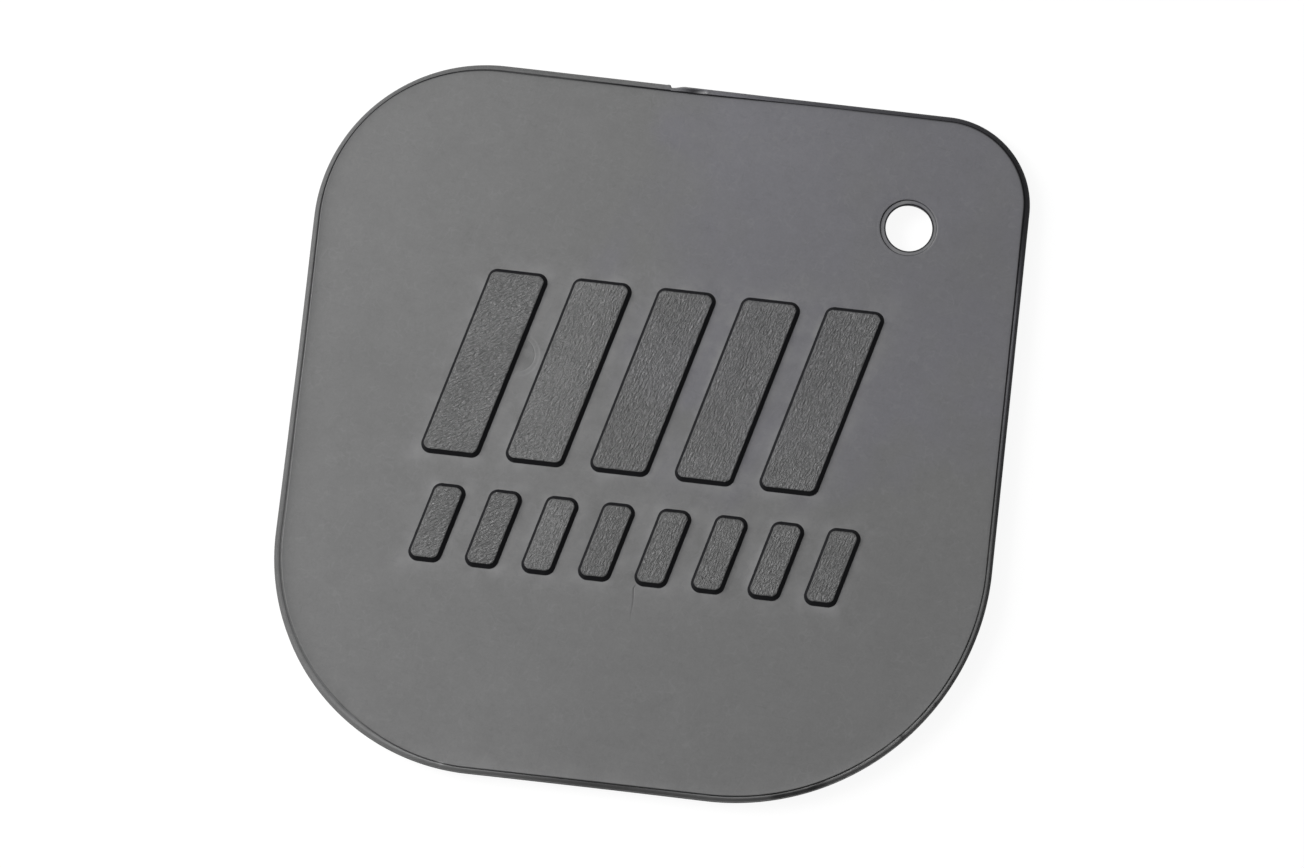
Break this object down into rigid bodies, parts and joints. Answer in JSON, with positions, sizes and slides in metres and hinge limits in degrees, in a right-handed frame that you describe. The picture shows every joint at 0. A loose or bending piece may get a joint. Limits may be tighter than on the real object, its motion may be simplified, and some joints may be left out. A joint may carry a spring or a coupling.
{
  "type": "pan scraper",
  "caption": "Flat square pan scraper with round corners of different radii, a stepped rim, a hanging hole near one corner and raised textured grip bars.",
  "frame": {"origin": "middle of the flat back, below the middle of the square outline", "axes": "+Z out of the front face with the raised bars, +Y towards the top side with the gate mark, +X towards the side with the hanging hole"},
  "size_m": [0.076, 0.076, 0.0031],
  "materials": {
    "plate_plastic": "satin moulded plastic, dark grey, with a leathery grain on the raised bars"
  },
  "bodies": {
    "root": {"scraper_plate": "plate_plastic"}
  },
  "joints": []
}
